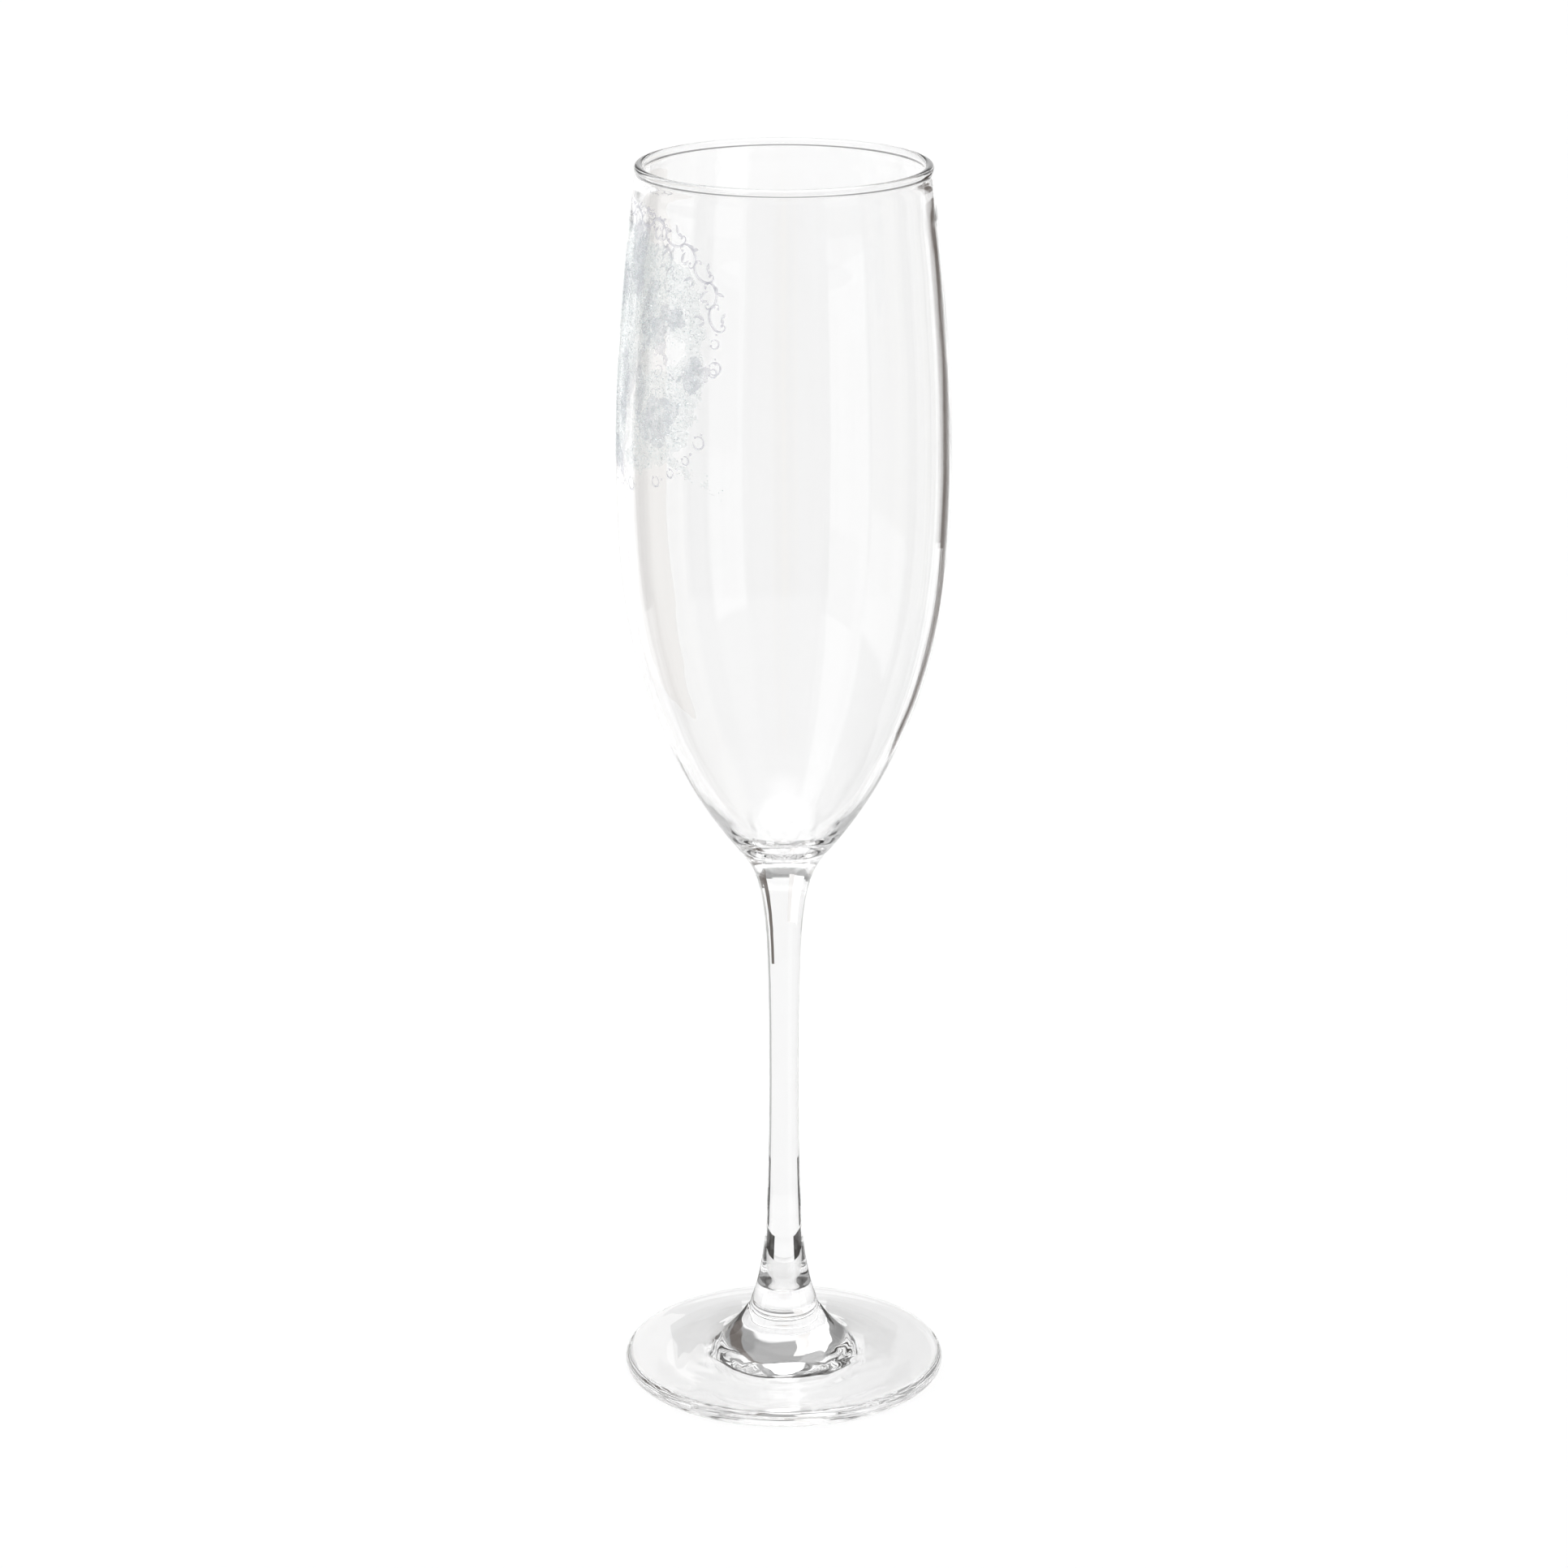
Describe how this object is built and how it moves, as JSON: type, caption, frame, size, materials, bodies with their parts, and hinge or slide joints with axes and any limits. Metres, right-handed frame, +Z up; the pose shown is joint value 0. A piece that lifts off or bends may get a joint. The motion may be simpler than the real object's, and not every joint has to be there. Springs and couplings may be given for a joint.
{
  "type": "champagne flute",
  "caption": "Stemmed flute glass: a tall tapering bowl with a rounded rim on a slim drawn stem and a round foot, with a glitter medallion printed on one side.",
  "frame": {"origin": "middle of the foot's resting face, on the table", "axes": "+Z up along the flute's axis of revolution, from the foot to the rim; the printed medallion faces -X, turned 12 degrees towards -Y"},
  "size_m": [0.0618, 0.0614, 0.235],
  "materials": {
    "clear_glass": "fire-polished clear soda-lime glass",
    "ground_ink": "thin translucent grey-lilac printed ink",
    "glitter_coat": "pale silver-blue glitter flakes in clear lacquer",
    "scroll_ink": "thin grey-lilac printed ink"
  },
  "bodies": {
    "root": {"bowl": "clear_glass", "stem": "clear_glass", "foot": "clear_glass", "print_ground": "ground_ink", "print_glitter": "glitter_coat", "scroll_border": "scroll_ink"}
  },
  "joints": []
}
